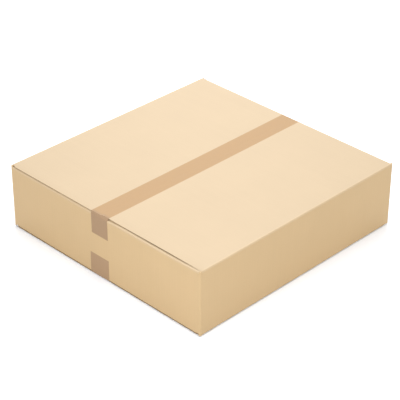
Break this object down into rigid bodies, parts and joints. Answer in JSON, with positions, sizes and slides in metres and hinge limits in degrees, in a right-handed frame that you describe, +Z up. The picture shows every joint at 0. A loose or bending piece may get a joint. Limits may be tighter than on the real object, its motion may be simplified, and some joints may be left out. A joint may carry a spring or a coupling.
{
  "type": "taped corrugated carton",
  "caption": "Flat, closed shipping carton of plain brown corrugated board, sealed along its seams with strips of packing tape.",
  "frame": {"origin": "centre of the base, on the surface that the carton stands on", "axes": "+X runs along the seam and the tape, +Y across the seam, +Z is up"},
  "size_m": [0.6002, 0.585, 0.1582],
  "materials": {
    "board": "plain pale brown kraft board, matte",
    "tape": "brown polypropylene packing tape, satin"
  },
  "bodies": {
    "root": {"carton": "board", "top_tape": "tape", "bottom_tape": "tape"}
  },
  "joints": []
}
